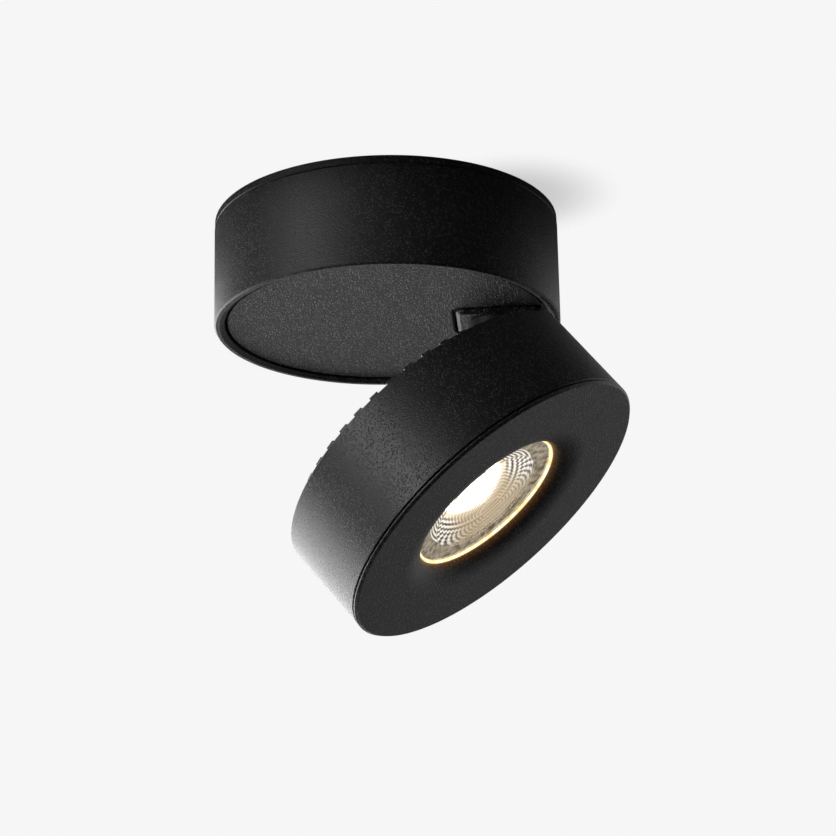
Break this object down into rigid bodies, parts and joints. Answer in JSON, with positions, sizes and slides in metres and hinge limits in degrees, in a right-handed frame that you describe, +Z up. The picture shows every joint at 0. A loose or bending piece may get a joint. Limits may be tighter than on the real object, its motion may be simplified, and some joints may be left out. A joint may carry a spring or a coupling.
{
  "type": "surface mounted ceiling spotlight",
  "caption": "Round surface mounted ceiling spotlight: a flat drum base with a matching drum head on a swivel arm and tilt hinge, folding flat under the base.",
  "frame": {"origin": "centre of the base's ceiling face", "axes": "+Z up into the ceiling, +X from the base's centre towards the hinge"},
  "size_m": [0.1189, 0.1033, 0.1199],
  "materials": {
    "black_paint": "black powder coat, fine sand texture",
    "textured_black": "black powder coat, coarse sand texture",
    "fine_black_paint": "black powder coat, very fine texture",
    "satin_black": "satin",
    "black_rubber": "matt",
    "blackened_steel": "black oxide",
    "zinc_steel": "zinc plated",
    "brass_fitting": "machined",
    "white_plastic": "matt",
    "component_plastic": "matt",
    "circuit_board": "satin",
    "clear_lens": "clear, ridged in rings",
    "mirror_reflector": "metallised",
    "grey_pad": "matt",
    "cob_ceramic": "matt",
    "cob_phosphor": "matt"
  },
  "bodies": {
    "base": {"mounting_plate": "black_paint", "cable_grommet": "black_rubber", "base_housing": "black_paint", "plate_set_screws": "blackened_steel", "base_disc": "textured_black", "base_disc_screws": "zinc_steel", "driver_case": "white_plastic", "driver_lid": "white_plastic", "driver_board": "circuit_board", "driver_transformer": "component_plastic", "driver_capacitors": "component_plastic", "driver_screws": "zinc_steel", "terminal_block": "white_plastic", "terminal_screws": "zinc_steel", "terminal_fixing_screws": "zinc_steel", "cable_clamp": "component_plastic", "cable_clamp_screws": "zinc_steel", "earth_tag": "brass_fitting", "earth_screw": "brass_fitting", "hinge_block": "textured_black", "hinge_block_screws": "zinc_steel", "swivel_stop_pin": "blackened_steel", "swivel_bush": "brass_fitting", "swivel_friction_washer": "brass_fitting"},
    "swivel": {"swivel_arm": "satin_black", "swivel_spindle": "blackened_steel", "swivel_spring_washer": "zinc_steel", "swivel_nut": "zinc_steel"},
    "head": {"hinge_bracket": "satin_black", "hinge_bracket_screws": "blackened_steel", "tilt_pin": "blackened_steel", "tilt_washers": "brass_fitting", "tilt_clips": "blackened_steel", "head_housing": "black_paint", "head_lead_grommet": "black_rubber", "front_seal": "black_rubber", "front_ring": "fine_black_paint", "lens": "clear_lens", "reflector": "mirror_reflector", "lens_retainer": "component_plastic", "lens_retainer_screws": "zinc_steel", "thermal_pad": "grey_pad", "cob_board": "cob_ceramic", "cob_emitter": "cob_phosphor", "cob_holder": "white_plastic", "cob_holder_screws": "zinc_steel"}
  },
  "joints": [
    {"name": "head_swivel", "type": "hinge", "parent": "base", "child": "swivel", "pos_m": [0.032, 0, -0.0323], "axis": [0, 0, 1], "range_deg": [-155, 175]},
    {"name": "head_tilt", "type": "hinge", "parent": "swivel", "child": "head", "pos_m": [0.04722, -0.00268, -0.0352], "axis": [-0.1736, -0.9848, 0], "range_deg": [-38.6, 51.4]}
  ]
}
